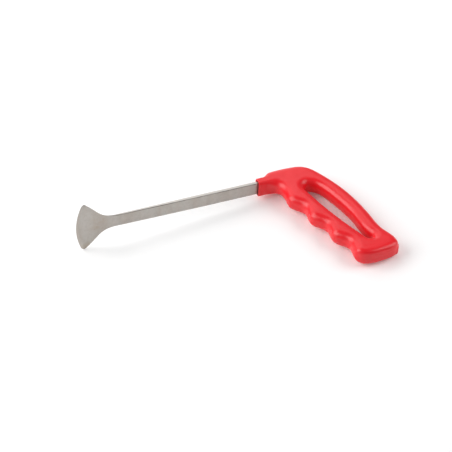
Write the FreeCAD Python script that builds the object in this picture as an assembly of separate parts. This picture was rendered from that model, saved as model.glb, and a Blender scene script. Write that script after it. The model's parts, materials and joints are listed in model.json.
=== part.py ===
import FreeCAD, Part
import math
import os

from FreeCAD import Rotation, Vector

# Hive tool: a forged flat bar with a flared scraping blade, pressed by its tang into a moulded D handle.
#
# The pieces are drawn in the tool's own axes, then laid down as the tool rests on a bench:
#   x runs along the bar, from the blade (minus) to the handle (plus), and is 0 at the handle's mouth
#   y runs across the bar's thin side; the finger grip hangs towards minus y
#   z runs across the bar's broad side, and through the thickness of the handle
# All sizes are in millimetres.

# Flat bar and tang
BAR_WIDTH = 10.5
BAR_THICK = 3.0
TANG_LENGTH = 38.0
TANG_TIP_WIDTH = 7.0
TANG_TAPER_LENGTH = 10.0

# The forged stretch gets thinner and a little wider towards the blade
TAPER_START = -50.0
NECK_X = -112.0
NECK_WIDTH = 10.5
NECK_THICK = 1.7
BLADE_THICK = 1.0
BLADE_THICK_X = -124.0

# Flared blade
BLADE_APEX_X = -147.3
BLADE_SPAN = 43.0
BLADE_TIP_X = -141.2
BLADE_TIP_ROUND = 2.2
CUTTING_RADIUS = 52.0
BEVEL_WIDTH = 1.6
EDGE_THICK = 0.3

# Grip, in its own axes: u runs down the grip from the bar's centre line, v runs backwards across it
GRIP_LEAN = 16.6
HANDLE_THICK = 14.0
HANDLE_ROUND = 4.5
FINGER_PITCH = 25.2
FINGER_DEPTH = 4.0
FIRST_RIDGE_U = 29.6
RIDGE_V = 8.1
RIDGE_COUNT = 4

# Collar and socket at the handle's mouth
COLLAR_LENGTH = 15.0
COLLAR_WIDTH = 13.9
COLLAR_THICK = 8.6
COLLAR_ROUND = 2.2
MOUTH_GAP = 0.9
MOUTH_DEPTH = 6.0

# How the tool lies: on the blade's lower tip and on the handle's flank
REST_PITCH = 4.38
REST_ROLL = -1.14


def grip_point(u, v):
    """Place a point given in the grip's axes into the tool's axes."""
    lean = math.radians(GRIP_LEAN)
    x = u * math.sin(lean) + v * math.cos(lean)
    y = v * math.sin(lean) - u * math.cos(lean)
    return Vector(x, y, 0)


def closed_spline(points):
    """Smooth closed outline through the points."""
    curve = Part.BSplineCurve()
    curve.interpolate(points, PeriodicFlag=True)
    return Part.Wire([curve.toShape()])


def plan_outline():
    """Broad-side outline of the steel, from the tang's end to the cutting arc, in the x-z plane."""
    half_bar = BAR_WIDTH / 2
    half_neck = NECK_WIDTH / 2
    half_span = BLADE_SPAN / 2
    arc_centre_x = BLADE_APEX_X + CUTTING_RADIUS
    arc_end_z = half_span - BLADE_TIP_ROUND
    arc_end_x = arc_centre_x - math.sqrt(CUTTING_RADIUS ** 2 - arc_end_z ** 2)

    def side(sign):
        neck = Vector(NECK_X, 0, sign * half_neck)
        flare_end = Vector(BLADE_TIP_X + 2.6, 0, sign * (half_span - 1.8))
        flare = Part.BSplineCurve()
        flare.interpolate(
            [
                neck,
                Vector(-119.2, 0, sign * 5.5),
                Vector(-125.4, 0, sign * 7.45),
                Vector(-131.6, 0, sign * 12.6),
                flare_end,
            ],
            InitialTangent=Vector(-1, 0, 0),
            FinalTangent=Vector(-0.72, 0, sign * 0.70),
        )
        tip = Part.BSplineCurve()
        tip.interpolate(
            [
                flare_end,
                Vector(BLADE_TIP_X, 0, sign * half_span),
                Vector(arc_end_x, 0, sign * arc_end_z),
            ],
            InitialTangent=Vector(-0.72, 0, sign * 0.70),
            FinalTangent=Vector(-arc_end_z / CUTTING_RADIUS, 0, -sign * 0.9),
        )
        straight = Part.LineSegment(Vector(TAPER_START, 0, sign * half_bar), neck)
        bar = Part.LineSegment(Vector(TANG_LENGTH - TANG_TAPER_LENGTH, 0, sign * half_bar),
                               Vector(TAPER_START, 0, sign * half_bar))
        tang = Part.LineSegment(Vector(TANG_LENGTH, 0, sign * TANG_TIP_WIDTH / 2),
                                Vector(TANG_LENGTH - TANG_TAPER_LENGTH, 0, sign * half_bar))
        return [tang, bar, straight, flare, tip]

    cutting_arc = Part.Arc(
        Vector(arc_end_x, 0, arc_end_z),
        Vector(BLADE_APEX_X, 0, 0),
        Vector(arc_end_x, 0, -arc_end_z),
    )
    tang_end = Part.LineSegment(Vector(TANG_LENGTH, 0, -TANG_TIP_WIDTH / 2),
                                Vector(TANG_LENGTH, 0, TANG_TIP_WIDTH / 2))
    curves = side(1) + [cutting_arc] + side(-1) + [tang_end]
    edges = Part.sortEdges([curve.toShape() for curve in curves])[0]
    return Part.Wire(edges)


def thickness_prism():
    """Thin-side profile of the steel in the x-y plane, as deep as the blade is broad."""
    stations = [
        (TANG_LENGTH + 1, BAR_THICK / 2),
        (TAPER_START, BAR_THICK / 2),
        (NECK_X, NECK_THICK / 2),
        (BLADE_THICK_X, BLADE_THICK / 2),
        (BLADE_APEX_X - 1, BLADE_THICK / 2),
    ]
    upper = [Vector(x, half, -BLADE_SPAN) for x, half in stations]
    lower = [Vector(x, -half, -BLADE_SPAN) for x, half in reversed(stations)]
    profile = Part.makePolygon(upper + lower + [upper[0]])
    return Part.Face(profile).extrude(Vector(0, 0, 2 * BLADE_SPAN))


def bevel_cutter():
    """Ring that grinds the bevel on the grip's side of the blade, concentric with the cutting arc."""
    centre_x = BLADE_APEX_X + CUTTING_RADIUS
    face_y = -BLADE_THICK / 2
    over = 1.0
    ground = BLADE_THICK - EDGE_THICK
    inner = Vector(centre_x - CUTTING_RADIUS + BEVEL_WIDTH, face_y, 0)
    edge = Vector(BLADE_APEX_X, face_y + ground, 0)
    beyond = edge + (edge - inner)
    corner = Vector(beyond.x, face_y - over, 0)
    base = Vector(inner.x, face_y - over, 0)
    section = Part.Face(Part.makePolygon([inner, beyond, corner, base, inner]))
    axis_point = Vector(centre_x, 0, 0)
    cutter = section.revolve(axis_point, Vector(0, 1, 0), 60)
    cutter.rotate(axis_point, Vector(0, 1, 0), -30)
    return cutter


def make_blade_and_shank():
    """One forging: tang, flat bar, thinned neck and flared blade with a ground cutting edge."""
    reach = BAR_WIDTH
    plan = Part.Face(plan_outline())
    plan.translate(Vector(0, -reach / 2, 0))
    steel = plan.extrude(Vector(0, reach, 0)).common(thickness_prism())
    steel = steel.cut(bevel_cutter())
    return steel.Solids[0]


def grip_outline():
    """Outer outline of the handle: finger ridges in front, butt below, palm arch behind, head on top."""
    points = [Vector(12.6, -6.0, 0), Vector(15.4, -9.2, 0)]
    for ridge in range(RIDGE_COUNT):
        ridge_u = FIRST_RIDGE_U + ridge * FINGER_PITCH
        points.append(grip_point(ridge_u - FINGER_PITCH / 2, RIDGE_V + FINGER_DEPTH))
        points.append(grip_point(ridge_u - FINGER_PITCH / 4, RIDGE_V + FINGER_DEPTH / 2))
        points.append(grip_point(ridge_u, RIDGE_V))
        if ridge < RIDGE_COUNT - 1:
            points.append(grip_point(ridge_u + FINGER_PITCH / 4, RIDGE_V + FINGER_DEPTH / 2))
    butt = [(110.3, 10.2), (114.0, 15.6), (116.1, 22.8), (117.6, 30.5), (117.4, 37.0), (113.6, 41.2)]
    palm = [(106.5, 42.4), (98.5, 41.7), (89.7, 42.6), (80.0, 44.9), (65.0, 47.8), (50.0, 49.3),
            (36.0, 49.2), (22.0, 47.7)]
    points += [grip_point(u, v) for u, v in butt + palm]
    head = [(49.2, -1.8), (45.6, 3.6), (40.2, 7.6), (33.0, 9.3), (25.5, 9.9), (18.5, 10.2),
            (12.6, 8.5), (8.6, 5.2), (7.2, 0.9), (8.9, -3.5)]
    points += [Vector(x, y, 0) for x, y in head]
    return closed_spline(points)


def slot_outline():
    """Outline of the slot between the finger grip and the palm arch."""
    rim = [(22.6, 30.0), (24.6, 25.9), (31.0, 24.5), (42.0, 23.8), (55.0, 23.3), (70.0, 23.2),
           (84.0, 23.8), (94.0, 24.4), (98.6, 25.2), (100.8, 27.6), (98.6, 30.0), (92.0, 30.8),
           (83.6, 31.9), (72.0, 34.9), (58.0, 36.9), (44.0, 37.6), (33.0, 37.3), (26.0, 35.0)]
    return closed_spline([grip_point(u, v) for u, v in rim])


def slab(outline, height):
    """Plate of the outline, centred on the tool's middle plane."""
    plate = Part.Face(outline)
    plate.translate(Vector(0, 0, -height / 2))
    return plate.extrude(Vector(0, 0, height))


def flank_edges(body):
    """Edges of the two flat flanks."""
    edges = []
    for face in body.Faces:
        centre = face.CenterOfMass
        if abs(abs(centre.z) - HANDLE_THICK / 2) < 0.01:
            edges += face.Edges
    return edges


def make_collar():
    """Rounded sleeve round the end of the bar."""
    corner = Vector(0, -COLLAR_THICK / 2, -COLLAR_WIDTH / 2)
    block = Part.makeBox(COLLAR_LENGTH, COLLAR_THICK, COLLAR_WIDTH, corner)
    long_edges = [edge for edge in block.Edges if abs(edge.tangentAt(0).x) > 0.99]
    return block.makeFillet(COLLAR_ROUND, long_edges)


def make_handle(steel):
    """One moulding: D grip with a slot, collar, open mouth, and a socket that is the tang's own shape."""
    grip = slab(grip_outline(), HANDLE_THICK).cut(slab(slot_outline(), 2 * HANDLE_THICK))
    grip = grip.makeFillet(HANDLE_ROUND, flank_edges(grip))
    handle = grip.fuse(make_collar()).removeSplitter()
    mouth_thick = BAR_THICK + 2 * MOUTH_GAP
    mouth_width = BAR_WIDTH + 2 * MOUTH_GAP
    mouth = Part.makeBox(2 * MOUTH_DEPTH, mouth_thick, mouth_width,
                         Vector(-MOUTH_DEPTH, -mouth_thick / 2, -mouth_width / 2))
    return handle.cut(mouth).cut(steel).Solids[0]


def lay_down(shapes):
    """Turn the tool onto its side and stand its lowest point at z = 0, with the origin under its middle."""
    turn = Rotation(Vector(0, 1, 0), REST_PITCH).multiply(Rotation(Vector(1, 0, 0), REST_ROLL))
    laid = []
    for shape in shapes:
        copy = shape.copy()
        copy.Placement = FreeCAD.Placement(Vector(0, 0, 0), turn)
        laid.append(copy)
    box = Part.makeCompound(laid).optimalBoundingBox(False)
    middle = Vector(-(box.XMin + box.XMax) / 2, -(box.YMin + box.YMax) / 2, -box.ZMin)
    for copy in laid:
        copy.translate(middle)
    return laid


def main():
    os.makedirs("parts", exist_ok=True)
    steel = make_blade_and_shank()
    handle = make_handle(steel)
    blade_laid, handle_laid = lay_down([steel, handle])
    blade_laid.exportStep("parts/blade_and_shank.step")
    handle_laid.exportStep("parts/handle.step")


main()
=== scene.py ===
import json
import math

import bmesh
import bpy
import numpy as np
from mathutils import Matrix, Vector


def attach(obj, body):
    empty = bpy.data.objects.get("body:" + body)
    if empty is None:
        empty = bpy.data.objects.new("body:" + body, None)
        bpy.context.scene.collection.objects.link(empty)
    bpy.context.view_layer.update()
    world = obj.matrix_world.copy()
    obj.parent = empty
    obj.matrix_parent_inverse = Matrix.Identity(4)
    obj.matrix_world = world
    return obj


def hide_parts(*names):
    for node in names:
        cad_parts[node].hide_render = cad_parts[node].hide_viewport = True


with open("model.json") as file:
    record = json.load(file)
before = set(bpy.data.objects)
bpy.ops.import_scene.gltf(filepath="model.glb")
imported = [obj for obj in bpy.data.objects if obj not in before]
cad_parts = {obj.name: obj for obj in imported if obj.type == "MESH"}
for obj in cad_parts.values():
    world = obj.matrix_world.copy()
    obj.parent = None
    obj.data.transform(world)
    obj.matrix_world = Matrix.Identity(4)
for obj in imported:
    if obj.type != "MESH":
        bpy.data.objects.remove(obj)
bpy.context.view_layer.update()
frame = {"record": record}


# Blade and shank. One bar of dull steel, 10.5 x 3 mm: its far end is worked out thin and flared into a
# scraping blade with a ground cutting edge, and its near end is a tang that sits in the handle's socket.

MM = 0.001
WELD = 0.005 * MM

# The tool lies on its side. Its own axes come from the flat flank it lies on: x runs along the bar towards
# the handle, z through the handle's thickness, and zero is where the bar's middle line enters the handle.
FLANK_POINT = Vector((28.0, 0.0, -7.0))
flank = next(mount for mount in frame["record"]["mounts"] if mount["name"] == "handle_flank")
through = -Vector(flank["axis"]).normalized()
along = Vector((0, 1, 0)).cross(through).normalized()
across = through.cross(along)
tool_turn = Matrix((along, across, through)).transposed()
tool_origin = Vector(flank["pos_m"]) - tool_turn @ (FLANK_POINT * MM)

TANG_END = 37.8
TANG_TAPER = 10.0
TANG_HALF_WIDTH = 3.5
BAR_HALF_WIDTH = 5.23
BAR_HALF_THICK = 1.48
TAPER_START = -50.0
NECK = -112.0
NECK_HALF_WIDTH = 5.23
PLATE_HALF_THICK = 0.49
BLADE_APEX = -147.25
BLADE_TIP = -141.2
BLADE_HALF_SPAN = 21.45
TIP_ROUND = 2.2
CUTTING_RADIUS = 52.0
BEVEL_WIDTH = 1.6
EDGE_THICK = 0.3
ARRIS = 0.42
FLARE = [(-112.0, 5.23), (-119.2, 5.5), (-125.4, 7.4), (-131.6, 12.55), (-138.0, 18.95), (-139.7, 20.5),
         (-140.6, 21.25), (-141.2, 21.45)]
THINNING = [(-127.0, PLATE_HALF_THICK), (-122.0, 0.56), (NECK, 0.84), (TAPER_START, BAR_HALF_THICK)]

# Small knocks on one side of the flare: place along the bar, depth, reach.
NICKS = [(-129.6, 0.35, 0.5), (-136.2, 0.25, 0.45)]

# The flare's stations bend from straight across the neck into the cutting edge's arc between these places.
BEND_START = -116.0
BEND_END = BLADE_TIP + 2.4
SLOPE_STEP = 0.1


def smooth_curve(knots, count, closed=False):
    """Points along the cubic spline through the knots."""
    knots = np.array(knots + knots[:1] if closed else knots, float)
    gaps = np.hypot(*np.diff(knots, axis=0).T)
    at = np.concatenate([[0], np.cumsum(gaps)])
    last = len(knots) - 1
    slopes = np.diff(knots, axis=0) / gaps[:, None]
    system, wanted = np.eye(last + 1), np.zeros((last + 1, 2))
    for i in range(1, last):
        system[i, i - 1:i + 2] = gaps[i - 1], 2 * (gaps[i - 1] + gaps[i]), gaps[i]
        wanted[i] = 6 * (slopes[i] - slopes[i - 1])
    if closed:
        system[0, [0, 1, last - 1, last]] = 2 * gaps[0], gaps[0], gaps[-1], 2 * gaps[-1]
        wanted[0] = 6 * (slopes[0] - slopes[-1])
        system[last, 0] = -1
    bend = np.linalg.solve(system, wanted)
    where = np.linspace(0, at[-1], count, endpoint=not closed)
    span = np.clip(np.searchsorted(at, where, side="right") - 1, 0, last - 1)
    gap = gaps[span][:, None]
    after = (where - at[span])[:, None] / gap
    before = 1 - after
    curl = (before ** 3 - before) * bend[span] + (after ** 3 - after) * bend[span + 1]
    return before * knots[span] + after * knots[span + 1] + curl * gap ** 2 / 6


def ease(value, start, end):
    """0 at start, 1 at end, smooth between."""
    t = np.clip((value - start) / (end - start), 0, 1)
    return t * t * (3 - 2 * t)


flare_curve = smooth_curve(FLARE, 200)[::-1]


def half_width(x):
    """Half the steel's width along the bar: flare, neck, bar, tang."""
    places = [NECK, TAPER_START, TANG_END - TANG_TAPER, TANG_END]
    bar = np.interp(x, places, [NECK_HALF_WIDTH, BAR_HALF_WIDTH, BAR_HALF_WIDTH, TANG_HALF_WIDTH])
    return np.where(x < NECK, np.interp(x, flare_curve[:, 0], flare_curve[:, 1]), bar)


def half_thick(x):
    """Half the steel's thickness along the bar, which thins towards the blade."""
    return np.interp(x, *zip(*THINNING))


def cutting_edge(z):
    """Where the cutting edge lies along the bar, z away from the middle line: an arc with rounded ends."""
    arc_end = BLADE_HALF_SPAN - TIP_ROUND
    centre = BLADE_APEX + CUTTING_RADIUS
    run = math.sqrt(CUTTING_RADIUS ** 2 - arc_end ** 2)
    straight_on = arc_end / run * TIP_ROUND
    arc = centre - np.sqrt(CUTTING_RADIUS ** 2 - np.minimum(z, arc_end) ** 2)
    beyond = np.clip((z - arc_end) / TIP_ROUND, 0, 1)
    corner = BLADE_TIP - (centre - run) - straight_on
    return arc + straight_on * beyond + corner * (1 - np.sqrt(1 - beyond ** 2))


turn = np.linspace(0, math.pi / 2, 5)
face = np.sin(np.linspace(-math.pi / 2, math.pi / 2, 39))[1:-1]
# Weight of each section point on the arrises, used for the painted dark reflection along the front arrises.
on_arris = np.concatenate([0 * face, np.sin(2 * turn), np.sin(2 * turn)] * 2)
on_arris = np.roll(on_arris, len(turn))


def steel_section(x):
    """Loop of points round the steel at one station: four faces and four rounded arrises."""
    half = float(half_thick(x))
    ground = max(0.0, 1 - (x - BLADE_TIP) / BEVEL_WIDTH)
    top, bottom = half, ground * (2 * half - EDGE_THICK) - half
    round_off = min(ARRIS, 0.35 * (top - bottom))
    corner_in = round_off * (1 - np.sin(turn))
    corner_drop = round_off * (1 - np.cos(turn))
    side_in = np.concatenate([corner_in, corner_in[::-1]])
    side_height = np.concatenate([top - corner_drop, bottom + corner_drop[::-1]])
    flat, full = np.full(len(face), round_off), np.ones(len(side_in))
    share = np.concatenate([face, full, face[::-1], -full])
    inset = np.concatenate([flat, side_in, flat, side_in])
    height = np.concatenate([flat * 0 + top, side_height, flat * 0 + bottom, side_height[::-1]])

    spread = 0.0
    if x < TAPER_START:
        spread = float(half_width(x - SLOPE_STEP) - half_width(x + SLOPE_STEP)) / (2 * SLOPE_STEP)
    slant = math.hypot(1, spread)
    width = half_width(x) - inset / slant
    for place, depth, reach in NICKS:
        width = width - np.where(share < 0, depth * math.exp(-((x - place) / reach) ** 2), 0)
    bent = ease(-x, -BEND_START, -BEND_END) * (cutting_edge(np.abs(share) * BLADE_HALF_SPAN) - BLADE_TIP)
    loop = np.column_stack([x + bent + inset * spread / slant * np.abs(share), height, share * width])
    return np.roll(loop, len(turn), axis=0)


stations = np.concatenate([
    np.linspace(TANG_END, NECK, 38),
    np.linspace(NECK - 1, -124, 12),
    np.arange(-124.4, BLADE_TIP + 2.2, -0.4),
    BLADE_TIP + np.array([2.0, 1.7, BEVEL_WIDTH, 1.5, 1.1, 0.7, 0.35, 0.0]),
])
steel_loops = np.array([steel_section(x) for x in stations])


def loft(loops):
    """Quads between following loops, and a strip of quads that closes each end."""
    rings, size = loops.shape[:2]
    quads = []
    for ring in range(rings - 1):
        here, there = ring * size, (ring + 1) * size
        quads += [(here + i, here + (i + 1) % size, there + (i + 1) % size, there + i) for i in range(size)]
    for start in (0, (rings - 1) * size):
        quads += [(start + i, start + i + 1, start + size - 2 - i, start + size - 1 - i)
                  for i in range(size // 2 - 1)]
    return loops.reshape(-1, 3), quads


def lay_down(points):
    """Take points from the tool's axes, in millimetres, to the frame, in metres."""
    return np.asarray(points, float) @ np.array(tool_turn).T * MM + np.array(tool_origin)


def add_piece(name, points, faces):
    """Smooth-shaded mesh object in the frame, its faces looking outwards."""
    mesh = bpy.data.meshes.new(name)
    mesh.from_pydata(lay_down(points).tolist(), [], np.asarray(faces).tolist())
    shape = bmesh.new()
    shape.from_mesh(mesh)
    bmesh.ops.dissolve_degenerate(shape, dist=WELD, edges=shape.edges)
    bmesh.ops.recalc_face_normals(shape, faces=shape.faces)
    shape.to_mesh(mesh)
    shape.free()
    mesh.shade_smooth()
    piece = bpy.data.objects.new(name, mesh)
    bpy.context.scene.collection.objects.link(piece)
    return piece


class Value:
    """One value in a material. Sums and products of values add the Math nodes they need."""

    def __init__(self, tree, socket):
        self.tree = tree
        self.socket = socket

    def node(self, kind, settings, inputs, output=0):
        """Add a node with its settings, such as an operation, and its inputs' values or links."""
        made = self.tree.nodes.new(kind)
        for name, setting in settings.items():
            setattr(made, name, setting)
        for key, given in inputs.items():
            if isinstance(given, Value):
                self.tree.links.new(given.socket, made.inputs[key])
            else:
                made.inputs[key].default_value = given
        return Value(self.tree, made.outputs[output])

    def maths(self, operation, first, second=0.0):
        return self.node("ShaderNodeMath", {"operation": operation}, {0: first, 1: second})

    def __add__(self, other):
        return self.maths("ADD", self, other)

    def __sub__(self, other):
        return self.maths("SUBTRACT", self, other)

    def __rsub__(self, other):
        return self.maths("SUBTRACT", other, self)

    def __mul__(self, other):
        return self.maths("MULTIPLY", self, other)

    def __pow__(self, other):
        return self.maths("POWER", self, other)

    def __abs__(self):
        return self.maths("ABSOLUTE", self)

    __radd__ = __add__
    __rmul__ = __mul__

    def between(self, low, high):
        """0 at low, 1 at high, clamped and smooth."""
        return self.node("ShaderNodeMapRange", {"interpolation_type": "SMOOTHSTEP"},
                         {"Value": self, "From Min": low, "From Max": high})

    def noise(self, scale, detail=3.0, rough=0.5, stretch=(1, 1, 1)):
        """Noise over a place, its scale in cells per millimetre."""
        spread = self.node("ShaderNodeVectorMath", {"operation": "MULTIPLY"}, {0: self, 1: stretch})
        return self.node("ShaderNodeTexNoise", {}, {"Vector": spread, "Scale": scale, "Detail": detail,
                                                    "Roughness": rough})

    def blended(self, first, second):
        """Colour that goes from first to second as this value goes from 0 to 1."""
        return self.node("ShaderNodeMix", {"data_type": "RGBA"}, {0: self, 6: first, 7: second}, output=2)


def new_finish(name):
    """Empty principled material: the material, its shader, and the place on the tool in millimetres."""
    material = bpy.data.materials.new(name)
    material.use_nodes = True
    tree = material.node_tree
    shader = tree.nodes["Principled BSDF"]
    start = Value(tree, tree.nodes.new("ShaderNodeTexCoord").outputs["Object"])
    place = start.node("ShaderNodeVectorMath", {"operation": "SUBTRACT"}, {0: start, 1: tool_origin})
    dot = {"operation": "DOT_PRODUCT"}
    parts = [start.node("ShaderNodeVectorMath", dot, {0: place, 1: axis / MM}, output=1)
             for axis in (along, across, through)]
    on_tool = start.node("ShaderNodeCombineXYZ", {}, dict(enumerate(parts)))
    return material, shader, on_tool, parts


def finish_with(shader, given):
    """Set or link the shader's inputs by name."""
    tree = shader.id_data
    for name, value in given.items():
        if isinstance(value, Value):
            tree.links.new(value.socket, shader.inputs[name])
        else:
            shader.inputs[name].default_value = value


def stain(x, z, centre_x, centre_z, reach):
    """1 in the middle of a round stain on the broad face, 0 beyond its reach."""
    spread = (x - centre_x) ** 2.0 + (z - centre_z) ** 2.0
    return 1 - spread.between(0.0, reach ** 2)


# Dull tumbled steel: warm and cool patches along the bar, faint rust stains on the blade, narrow faces
# painted paler as a painted highlight, a painted dark reflection along the arrises on the bar's front side,
# drag marks along the bar, and fine pitting.
material, shader, place, (x, y, z) = new_finish("tumbled_steel")
patches = place.noise(0.09, 4.0, 0.6, (1.0, 1.0, 0.35)).between(0.36, 0.64)
mottle = place.noise(0.55, 5.0, 0.65)
tone = patches.blended((0.455, 0.428, 0.400, 1), (0.415, 0.375, 0.338, 1))
tone = (mottle.between(0.35, 0.8) * 0.35).blended(tone, (0.33, 0.30, 0.275, 1))
rust = stain(x, z, -131.0, 1.5, 10.0) * place.noise(0.22, 5.0, 0.7).between(0.35, 0.75)
rust = rust + stain(x, z, -139.0, -19.5, 6.0) * 0.9
tone = (rust * 0.35).blended(tone, (0.34, 0.25, 0.16, 1))
# Painted highlight: the bar's narrow faces and outer arrises are painted paler, fading out towards the blade.
narrow_face_highlight = abs(z).between(4.85, 5.15) * x.between(-118.0, -108.0)
tone = narrow_face_highlight.blended(tone, (0.60, 0.57, 0.535, 1))
# Painted dark reflection: the arrises on the bar's front side are painted dark in patches, fading out towards
# the blade; the back arrises get a little of it.
arris_dark_reflection = place.node("ShaderNodeAttribute", {"attribute_name": "arris_dark_reflection"}, {}, output=2)
arris_dark_reflection = arris_dark_reflection * x.between(-122.0, -96.0) * (1 - y.between(-0.7, 0.3) * 0.85)
arris_dark_reflection = arris_dark_reflection * (0.5 + 0.5 * place.noise(0.12, 2.0).between(0.35, 0.6))
tone = arris_dark_reflection.blended(tone, (0.12, 0.105, 0.095, 1))
pits = place.noise(2.6, 6.0, 0.7)
drag = place.noise(1.3, 4.0, 0.6, (0.07, 1.0, 1.6))
streaks = drag.between(0.56, 0.72)
relief = place.node("ShaderNodeBump", {}, {"Strength": 0.35, "Distance": 0.12 * MM,
                                           "Height": pits * 0.6 + drag * 0.5})
tone = (streaks * 0.16).blended(tone, (0.30, 0.275, 0.25, 1))
finish_with(shader, {
    "Base Color": tone,
    "Metallic": 1.0,
    "Roughness": 0.27 + mottle * 0.14 + streaks * 0.08,
    "Normal": relief,
})
steel_points, steel_faces = loft(steel_loops)
steel = add_piece("forged_steel", steel_points, steel_faces)
# The arris weights go on the mesh for the painted dark reflection along the front arrises.
arris_marks = steel.data.attributes.new("arris_dark_reflection", "FLOAT", "POINT")
arris_marks.data.foreach_set("value", np.tile(on_arris, len(steel_loops)))
steel.data.materials.append(material)
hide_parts("blade_and_shank")
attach(steel, "root")


# Handle. One moulding of red polypropylene, solid through: a collar round the bar, a head, a grip with four
# finger ridges, a palm arch behind a long slot, and a butt. The tang sits in a socket behind an open mouth.

HALF_THICK = 7.0
CROWN_WIDTH = 6.8
CROWN_SQUARENESS = 2.6
FINGER_CROWN_WIDTH = 7.0
FINGER_SQUARENESS = 2.35
FINGER_PROUD = 0.3
FINGER_FADE = (12.0, 22.0)
BUTT_SQUARENESS = 3.6
RIM_SPREAD = 0.4
CREASE_SPREAD = 1.1
BUTT_START = 95.0
BUTT_END = 101.0
GRIP_LEAN = math.radians(16.6)
FINGER_PITCH = 25.2
FINGER_DEPTH = 4.0
RIDGE_COUNT = 4
FIRST_RIDGE = 29.6
RIDGE_LEVEL = 8.1
COLLAR_HALF_THICK = 4.3
COLLAR_HALF_WIDTH = 6.98
COLLAR_CROWN_WIDTH = 2.6
COLLAR_FADE = (6.0, 17.0)
COLLAR_RIM_ROUND = 0.45
COLLAR_END = 15.0
COLLAR_BLEND = 3.0
MOUTH_GAP = 0.9
MOUTH_DEPTH = 6.0
MOUTH_CORNER = 0.5
MOUTH_LIP = 0.35
SOCKET_GAP = 0.12
GATE_PLACE = (70.5, -99.6, -1.8)
GATE_OUT = (0.84, -0.54)
GATE_HALF_WIDTH = 2.3
GATE_HALF_HEIGHT = 3.3
GATE_PROUD = 1.2
GATE_TEAR = 0.3
GATE_BLEND = 1.8


def on_grip(u, v):
    """Plan place of a point u down the leaning grip and v back across it."""
    lean_sin, lean_cos = math.sin(GRIP_LEAN), math.cos(GRIP_LEAN)
    return (u * lean_sin + v * lean_cos, v * lean_sin - u * lean_cos)


front = [(12.6, -6.0), (15.4, -9.2)]
for ridge in range(RIDGE_COUNT):
    u = FIRST_RIDGE + ridge * FINGER_PITCH
    front += [on_grip(u - FINGER_PITCH / 2, RIDGE_LEVEL + FINGER_DEPTH),
              on_grip(u - FINGER_PITCH / 4, RIDGE_LEVEL + FINGER_DEPTH / 2), on_grip(u, RIDGE_LEVEL)]
    if ridge < RIDGE_COUNT - 1:
        front.append(on_grip(u + FINGER_PITCH / 4, RIDGE_LEVEL + FINGER_DEPTH / 2))
butt = [(110.3, 10.2), (114.0, 15.6), (116.1, 22.8), (117.6, 30.5), (117.4, 37.0), (113.6, 41.2)]
palm = [(106.5, 42.4), (98.5, 41.7), (89.7, 42.6), (80.0, 44.9), (65.0, 47.8), (50.0, 49.3), (36.0, 49.2),
        (22.0, 47.7)]
head = [(49.2, -1.8), (45.6, 3.6), (40.2, 7.6), (33.0, 9.3), (25.5, 9.7), (18.2, 9.6), (12.5, 8.6),
        (8.8, 5.4), (7.2, 0.9), (8.9, -3.5)]
slot = [(22.6, 30.0), (24.6, 25.9), (31.0, 24.5), (42.0, 23.8), (55.0, 23.3), (70.0, 23.2), (84.0, 23.8),
        (94.0, 24.4), (98.6, 25.2), (100.8, 27.6), (98.6, 30.0), (92.0, 30.8), (83.6, 31.9), (72.0, 34.9),
        (58.0, 36.9), (44.0, 37.6), (33.0, 37.3), (26.0, 35.0)]
grip_loop = smooth_curve(front + [on_grip(u, v) for u, v in butt + palm] + head, 520, closed=True)
slot_loop = smooth_curve([on_grip(u, v) for u, v in slot], 300, closed=True)

MAP_STEP = 0.25
map_start = grip_loop.min(0) - 12
map_x = np.arange(map_start[0], grip_loop[:, 0].max() + 3, MAP_STEP)
map_y = np.arange(map_start[1], grip_loop[:, 1].max() + 3, MAP_STEP)


def distance_map(loop):
    """Distance from each place of the map to the loop, below zero inside it."""
    start = loop.astype(np.float32)
    step = np.roll(start, -1, axis=0) - start
    length = (step ** 2).sum(1)
    turning = np.sign((start[:, 0] * step[:, 1] - start[:, 1] * step[:, 0]).sum())
    rows = []
    for x in map_x:
        gap = np.stack([np.full(len(map_y), x), map_y], 1).astype(np.float32)[:, None] - start
        share = np.clip((gap * step).sum(2) / length, 0, 1)
        away = gap - share[..., None] * step
        distance = (away ** 2).sum(2)
        near = distance.argmin(1)
        line = np.arange(len(map_y))
        side = step[near, 0] * gap[line, near, 1] - step[near, 1] * gap[line, near, 0]
        rows.append(-turning * np.sign(side) * np.sqrt(distance[line, near]))
    return np.array(rows)


def blend_union(first, second, reach):
    """Distance to either solid, with a fillet of about the reach between them."""
    share = np.clip(0.5 + 0.5 * (second - first) / reach, 0, 1)
    return second + (first - second) * share - reach * share * (1 - share)


grip_map, slot_map = distance_map(grip_loop), distance_map(slot_loop)
sleeve_map = np.maximum(np.abs(map_y) - COLLAR_HALF_THICK, map_x[:, None] - COLLAR_END)


def softened(values, spread):
    """Map blurred by the spread, in millimetres, so that no crease runs down the middle of a limb."""
    reach = int(3 * spread / MAP_STEP)
    bell = np.exp(-0.5 * (np.arange(-reach, reach + 1) * MAP_STEP / spread) ** 2)
    bell /= bell.sum()
    for axis in (0, 1):
        padded = np.pad(values, [(reach, reach) if side == axis else (0, 0) for side in (0, 1)], mode="edge")
        values = sum(share * np.take(padded, range(k, k + values.shape[axis]), axis)
                     for k, share in enumerate(bell))
    return values


rim_map = np.maximum(grip_map, -slot_map) - RIM_SPREAD
rim_map += (softened(rim_map, CREASE_SPREAD) - rim_map) * ease(-rim_map, 0.6, 3.0)
rim_map = blend_union(rim_map, sleeve_map, COLLAR_BLEND)


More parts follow.
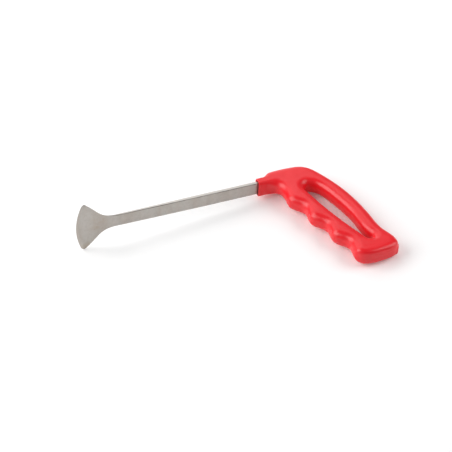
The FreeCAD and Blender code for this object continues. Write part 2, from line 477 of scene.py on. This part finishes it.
def read_map(values, x, y):
    """Value of a map at any place, straight between its points."""
    i, j = (x - map_x[0]) / MAP_STEP, (y - map_y[0]) / MAP_STEP
    low_i = np.clip(i.astype(int), 0, len(map_x) - 2)
    low_j = np.clip(j.astype(int), 0, len(map_y) - 2)
    i, j = i - low_i, j - low_j
    near = values[low_i, low_j] * (1 - j) + values[low_i, low_j + 1] * j
    far = values[low_i + 1, low_j] * (1 - j) + values[low_i + 1, low_j + 1] * j
    return near * (1 - i) + far * i


def round_meeting(first, second, radius):
    """Distance to the solid inside both distances, where they meet rounded to the radius."""
    first, second = first + radius, second + radius
    corner = np.hypot(np.maximum(first, 0), np.maximum(second, 0))
    return np.minimum(np.maximum(first, second), 0) + corner - radius


def handle_skin(x, y, z):
    """Distance to the moulding's skin, below zero in the plastic."""
    rim = read_map(rim_map, x, y)
    off_collar = ease(x, *COLLAR_FADE)
    at_butt = ease(-y, BUTT_START, BUTT_END)
    at_fingers = 1 - ease(x * math.cos(GRIP_LEAN) + y * math.sin(GRIP_LEAN), *FINGER_FADE)
    at_fingers = at_fingers * off_collar
    rim = rim - FINGER_PROUD * at_fingers * (1 - at_butt)
    width = CROWN_WIDTH + (FINGER_CROWN_WIDTH - CROWN_WIDTH) * at_fingers
    width = COLLAR_CROWN_WIDTH + (width - COLLAR_CROWN_WIDTH) * off_collar
    square = CROWN_SQUARENESS + (FINGER_SQUARENESS - CROWN_SQUARENESS) * at_fingers
    square = square + (BUTT_SQUARENESS - square) * at_butt
    half_thick = COLLAR_HALF_WIDTH + (HALF_THICK - COLLAR_HALF_WIDTH) * off_collar
    crown = np.clip(1 + rim / width, 0, 2) ** square + (np.abs(z) / half_thick) ** square
    solid = round_meeting((crown ** (1 / square) - 1) * width, -x, COLLAR_RIM_ROUND)
    proud = (x - GATE_PLACE[0]) * GATE_OUT[0] + (y - GATE_PLACE[1]) * GATE_OUT[1]
    aside = (y - GATE_PLACE[1]) * GATE_OUT[0] - (x - GATE_PLACE[0]) * GATE_OUT[1]
    torn = GATE_TEAR * np.sin(2.4 * aside + 1.0) * np.cos(1.7 * z)
    stub = round_meeting(np.abs(aside) - GATE_HALF_WIDTH, np.abs(z - GATE_PLACE[2]) - GATE_HALF_HEIGHT, 1.0)
    stub = round_meeting(stub, np.abs(proud) - GATE_PROUD - torn, 0.7)
    solid = blend_union(solid, stub, GATE_BLEND)
    mouth_height, mouth_width = BAR_HALF_THICK + MOUTH_GAP, BAR_HALF_WIDTH + MOUTH_GAP
    mouth = round_meeting(np.abs(y) - mouth_height, np.abs(z) - mouth_width, MOUTH_CORNER)
    mouth = np.maximum(mouth, x - MOUTH_DEPTH)
    tang_width = np.interp(x, [TANG_END - TANG_TAPER, TANG_END], [BAR_HALF_WIDTH, TANG_HALF_WIDTH])
    socket = np.maximum(np.abs(y) - BAR_HALF_THICK, np.abs(z) - tang_width)
    socket = np.maximum(socket, x - TANG_END) - SOCKET_GAP
    return -blend_union(-np.maximum(solid, -socket), mouth, MOUTH_LIP)


def steps(*marks):
    """Coordinates through the marks (place, step after it)."""
    runs = [np.arange(place, following[0] - step / 2, step)
            for (place, step), following in zip(marks, marks[1:])]
    return np.concatenate(runs + [[marks[-1][0]]])


def skin_mesh(skin, xs, ys, zs):
    """Quads on the surface where skin is zero: a point in each cell it crosses, then slid onto it."""
    level = skin(xs[:, None, None] + 0 * ys[:, None] + 0 * zs, ys[:, None] + 0 * xs[:, None, None] + 0 * zs,
                 zs + 0 * xs[:, None, None] + 0 * ys[:, None])
    inside = level < 0
    corners = sum(inside[i:len(xs) - 1 + i, j:len(ys) - 1 + j, k:len(zs) - 1 + k].astype(int)
                  for i in (0, 1) for j in (0, 1) for k in (0, 1))
    crossed = (corners > 0) & (corners < 8)
    number = np.cumsum(crossed.ravel()).reshape(crossed.shape) - 1
    cell = np.nonzero(crossed)
    middles = [(axis[:-1] + axis[1:]) / 2 for axis in (xs, ys, zs)]
    points = np.stack([middle[index] for middle, index in zip(middles, cell)], 1)
    quads = []
    for axis in range(3):
        low = np.take(inside, range(inside.shape[axis] - 1), axis)
        high = np.take(inside, range(1, inside.shape[axis]), axis)
        others = [other for other in range(3) if other != axis]
        keep = [slice(None)] * 3
        for other in others:
            keep[other] = slice(1, -1)
        edge = np.stack(np.nonzero((low != high)[tuple(keep)]), 1)
        ring = []
        for first, second in ((0, 0), (1, 0), (1, 1), (0, 1)):
            corner = edge.copy()
            corner[:, others[0]] += first
            corner[:, others[1]] += second
            ring.append(number[tuple(corner.T)])
        ring = np.stack(ring, 1)
        outward = high[tuple(keep)][tuple(edge.T)] != (axis == 1)
        quads.append(np.where(outward[:, None], ring[:, ::-1], ring))
    for _ in range(6):
        here = skin(*points.T)
        slope = np.stack([(skin(*(points + step).T) - skin(*(points - step).T)) / 0.1
                          for step in np.eye(3) * 0.05], 1)
        points -= slope * (here / np.maximum((slope ** 2).sum(1), 0.25))[:, None]
    return points, np.concatenate(quads)


skin_x = steps((-0.6, 0.28), (8.0, 0.5), (75.0, 0.5))
skin_y = steps((-107.0, 0.5), (-4.5, 0.28), (4.5, 0.5), (12.5, 0.5))
skin_z = steps((-7.6, 0.38), (7.6, 0.38))
handle_points, handle_faces = skin_mesh(handle_skin, skin_x, skin_y, skin_z)
handle = add_piece("moulded_handle", handle_points, handle_faces)

# Satin red polypropylene: soft sinks, scuffs and scratches in its gloss, and a hair-fine parting line round
# the middle.
material, shader, place, (x, y, z) = new_finish("red_polypropylene")
flow = place.noise(0.06, 3.0, 0.5)
sinks = place.noise(0.11, 2.0, 0.4)
grain = place.noise(2.2, 4.0, 0.6)
scuffs = place.noise(0.5, 6.0, 0.75, (1.0, 0.3, 1.0)).between(0.60, 0.78)
scratches = place.noise(0.7, 3.0, 0.6, (0.12, 1.5, 1.0)).between(0.66, 0.74)
tone = flow.between(0.3, 0.7).blended((0.775, 0.009, 0.016, 1), (0.82, 0.012, 0.020, 1))
tone = ((scuffs + scratches) * 0.22).blended(tone, (0.86, 0.06, 0.07, 1))
seam = 1 - abs(z).between(0.04, 0.16)
relief = place.node("ShaderNodeBump", {}, {"Strength": 0.6, "Distance": 0.4 * MM, "Height": sinks})
relief = place.node("ShaderNodeBump", {}, {"Strength": 0.3, "Distance": 0.06 * MM, "Normal": relief,
                                           "Height": grain * 0.6 + seam - scratches * 0.7})
finish_with(shader, {
    "Base Color": tone,
    "Roughness": 0.25 + grain * 0.09 + (scuffs + scratches) * 0.10,
    "Normal": relief,
    "IOR": 1.49,
})
handle.data.materials.append(material)
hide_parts("handle")
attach(handle, "root")


# Bench: a plain, flat, pale sheet that the tool lies on. It is made for the pictures only.

BENCH_HALF = 3.0
bench_mesh = bpy.data.meshes.new("bench")
corners = [(-1, -1), (1, -1), (1, 1), (-1, 1)]
bench_mesh.from_pydata([(x * BENCH_HALF, y * BENCH_HALF, 0) for x, y in corners], [], [(0, 1, 2, 3)])
bench = bpy.data.objects.new("bench", bench_mesh)
bpy.context.scene.collection.objects.link(bench)
material, shader, *_ = new_finish("pale_sheet")
finish_with(shader, {"Base Color": (0.93, 0.93, 0.93, 1), "Roughness": 0.8, "Specular IOR Level": 0.2,
                     "Emission Color": (1, 1, 1, 1), "Emission Strength": 0.08})
bench_mesh.materials.append(material)


# Studio: a dim even tent and three softboxes. The strongest stands on the blade's side, a weaker one on the
# handle's side, and the broadest behind.

def add_softbox(name, place, size, power):
    """Square soft light at a place, turned towards the tool."""
    data = bpy.data.lights.new(name, "AREA")
    data.shape, data.size, data.energy = "SQUARE", size, power
    box = bpy.data.objects.new(name, data)
    box.location = place
    box.rotation_euler = (-Vector(place)).to_track_quat("-Z", "Y").to_euler()
    bpy.context.scene.collection.objects.link(box)


add_softbox("blade_side_box", (-0.95, 0.29, 0.66), 1.12, 15.6)
add_softbox("handle_side_box", (0.95, -0.31, 0.67), 0.95, 8.5)
add_softbox("back_box", (0.0, 1.23, 0.75), 1.6, 9.6)
TENT_STRENGTH = 0.17
tent = bpy.data.worlds.new("tent")
tent.use_nodes = True
tent.node_tree.nodes["Background"].inputs["Color"].default_value = (1.0, 1.0, 1.0, 1)
tent.node_tree.nodes["Background"].inputs["Strength"].default_value = TENT_STRENGTH
bpy.context.scene.world = tent
bpy.context.scene.view_settings.view_transform = "Standard"

# Camera: a long lens looking down from the blade's side.
AZIMUTH = math.radians(-21.97)
ELEVATION = math.radians(42.8)
ROLL = math.radians(-1.18)
DISTANCE = 1.470
LENS = 155.15
SENSOR_WIDTH = 36.0
CLIP_END = 20.0
aim = Vector((-0.0010, 0.0176, 0.010))
back = Vector((math.sin(AZIMUTH) * math.cos(ELEVATION), -math.cos(AZIMUTH) * math.cos(ELEVATION),
               math.sin(ELEVATION)))
right = Vector((math.cos(AZIMUTH), math.sin(AZIMUTH), 0))
upward = back.cross(right)
camera_data = bpy.data.cameras.new("camera")
camera_data.lens, camera_data.sensor_width, camera_data.clip_end = LENS, SENSOR_WIDTH, CLIP_END
camera = bpy.data.objects.new("camera", camera_data)
camera_turn = Matrix((right, upward, back)).transposed() @ Matrix.Rotation(ROLL, 3, "Z")
camera.matrix_world = Matrix.Translation(aim + back * DISTANCE) @ camera_turn.to_4x4()
bpy.context.scene.collection.objects.link(camera)
bpy.context.scene.camera = camera
